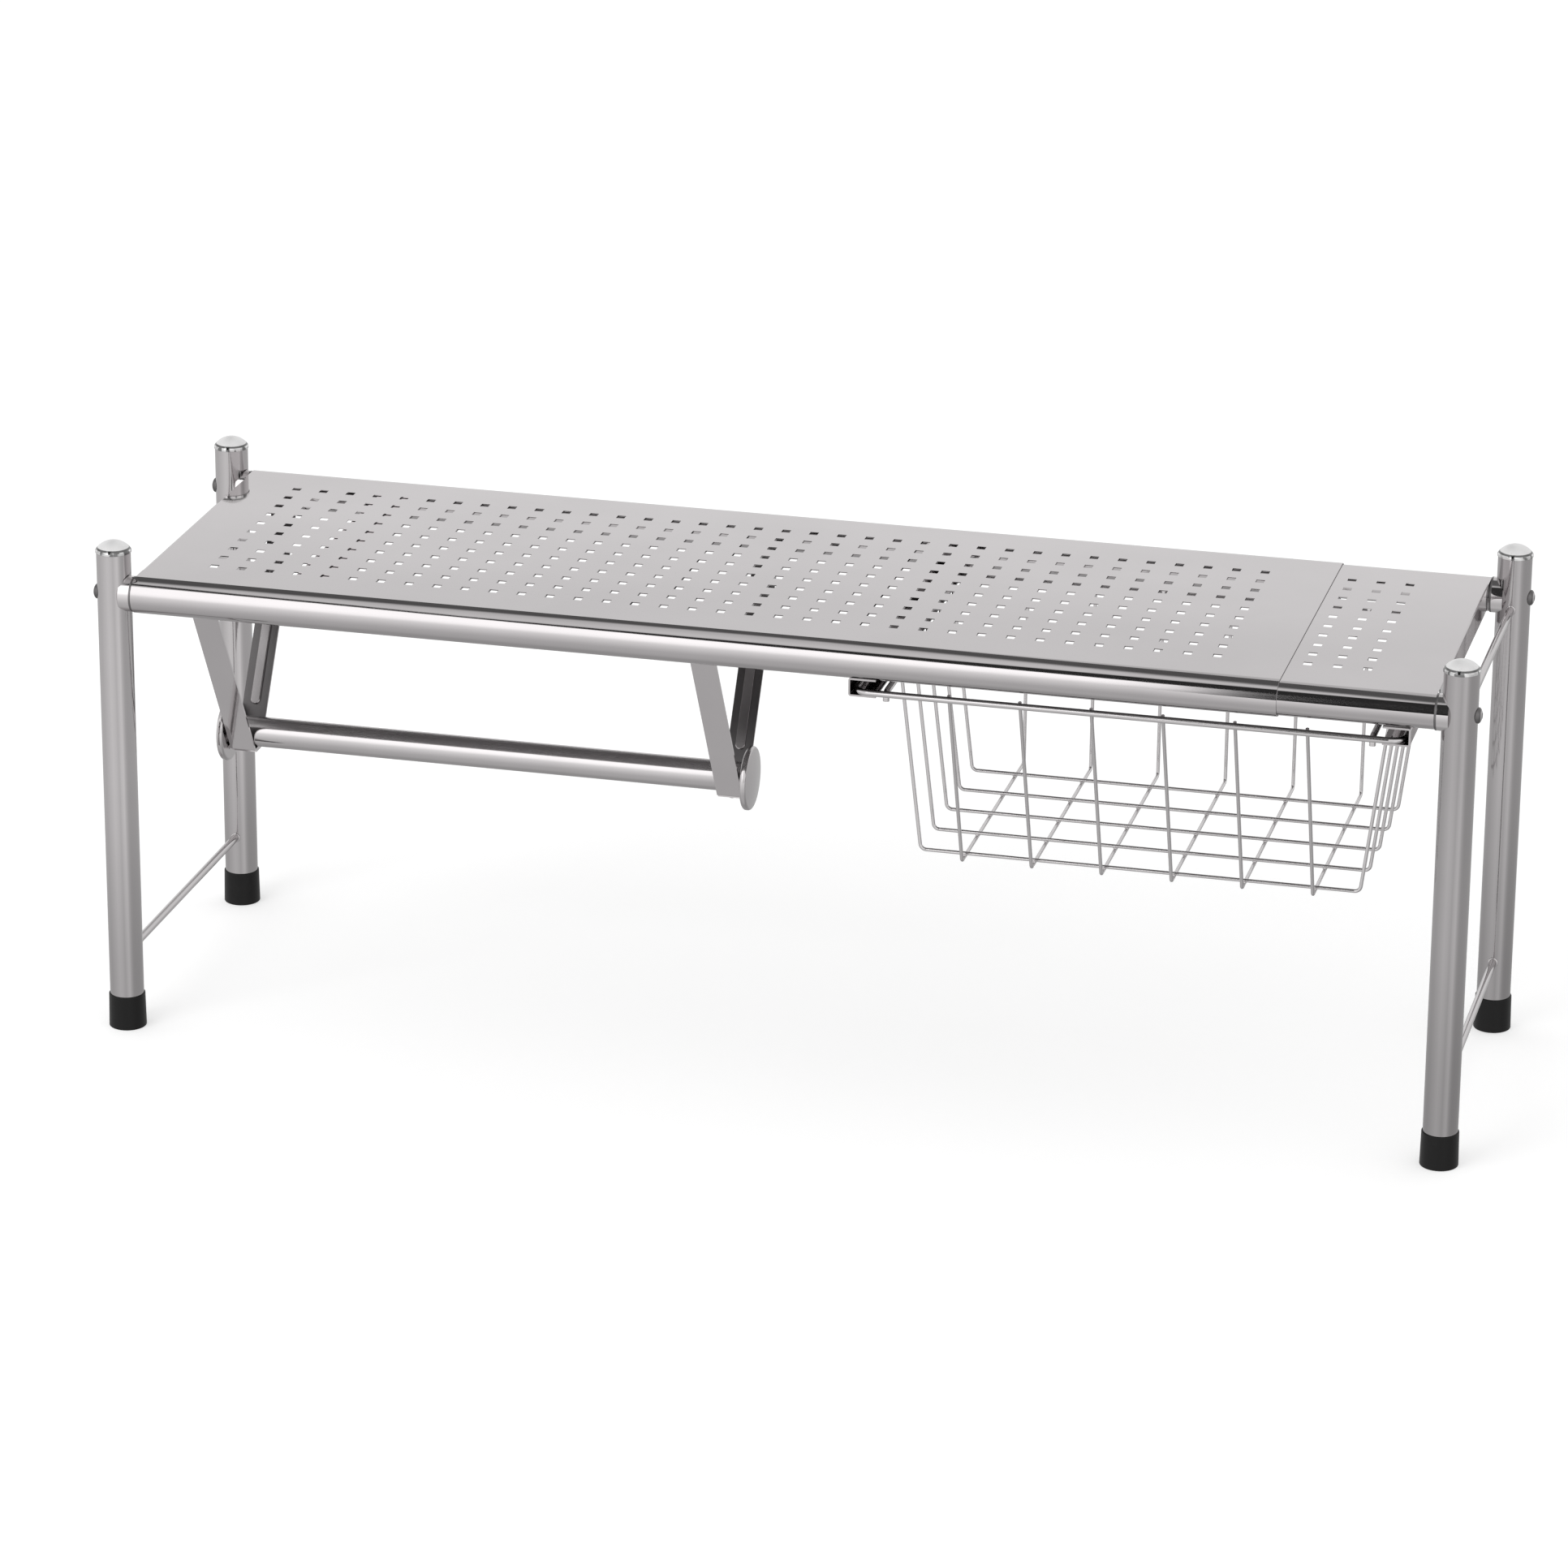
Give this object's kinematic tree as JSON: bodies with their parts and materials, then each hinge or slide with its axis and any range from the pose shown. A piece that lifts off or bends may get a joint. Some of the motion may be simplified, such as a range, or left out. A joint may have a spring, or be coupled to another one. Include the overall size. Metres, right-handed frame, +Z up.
{
  "type": "expandable over-sink shelf",
  "caption": "Free-standing steel shelf that lengthens by sliding, with a perforated top, a paper-roll bar and a sliding wire basket underneath.",
  "frame": {"origin": "on the floor, midway between the four legs at rest", "axes": "+X to the right along the shelf, +Y to the back, +Z up"},
  "size_m": [0.7656, 0.219, 0.286],
  "materials": {
    "deck_steel": "satin polished",
    "leg_chrome": "bright polished",
    "bar_chrome": "bright polished",
    "bracket_steel": "polished",
    "rail_steel": "polished",
    "wire_steel": "polished wire",
    "foot_rubber": "matt black"
  },
  "bodies": {
    "outer_frame": {"bracket_rivets": "bracket_steel", "left_bracket_front_arm": "bracket_steel", "left_bracket_rear_arm": "bracket_steel", "left_front_cap": "leg_chrome", "left_front_collar": "leg_chrome", "left_front_foot": "foot_rubber", "left_front_leg": "leg_chrome", "left_leg_bolts": "leg_chrome", "left_lower_rod": "leg_chrome", "left_rear_cap": "leg_chrome", "left_rear_collar": "leg_chrome", "left_rear_foot": "foot_rubber", "left_rear_leg": "leg_chrome", "left_upper_rod": "leg_chrome", "outer_deck": "deck_steel", "right_bracket_front_arm": "bracket_steel", "right_bracket_rear_arm": "bracket_steel"},
    "inner_frame": {"inner_deck": "deck_steel", "left_basket_rail": "rail_steel", "left_front_hanger": "rail_steel", "left_rear_hanger": "rail_steel", "rail_rivets": "rail_steel", "right_basket_rail": "rail_steel", "right_front_cap": "leg_chrome", "right_front_collar": "leg_chrome", "right_front_foot": "foot_rubber", "right_front_hanger": "rail_steel", "right_front_leg": "leg_chrome", "right_leg_bolts": "leg_chrome", "right_lower_rod": "leg_chrome", "right_rear_cap": "leg_chrome", "right_rear_collar": "leg_chrome", "right_rear_foot": "foot_rubber", "right_rear_hanger": "rail_steel", "right_rear_leg": "leg_chrome", "right_upper_rod": "leg_chrome"},
    "basket": {"basket_rim": "wire_steel", "cross_wire_1": "wire_steel", "cross_wire_2": "wire_steel", "cross_wire_3": "wire_steel", "cross_wire_4": "wire_steel", "cross_wire_5": "wire_steel", "cross_wire_6": "wire_steel", "left_side_rod": "wire_steel", "long_wire_1": "wire_steel", "long_wire_2": "wire_steel", "long_wire_3": "wire_steel", "long_wire_4": "wire_steel", "long_wire_5": "wire_steel", "right_side_rod": "wire_steel"},
    "bar_ends": {"left_bar_disc": "bar_chrome", "right_bar_disc": "bar_chrome"},
    "roll_bar": {"bar_tube": "bar_chrome"}
  },
  "joints": [
    {"name": "extend", "type": "slide", "parent": "outer_frame", "child": "inner_frame", "axis": [1, 0, 0], "range_m": [-0.065, 0.4]},
    {"name": "basket_slide", "type": "slide", "parent": "inner_frame", "child": "basket", "axis": [0, -1, 0], "range_m": [0, 0.15]},
    {"name": "bar_lift", "type": "slide", "parent": "outer_frame", "child": "bar_ends", "axis": [0, 0, 1], "range_m": [0, 0.03]},
    {"name": "bar_spin", "type": "hinge", "parent": "bar_ends", "child": "roll_bar", "pos_m": [-0.189, 0, 0.1447], "axis": [1, 0, 0], "continuous": true}
  ]
}
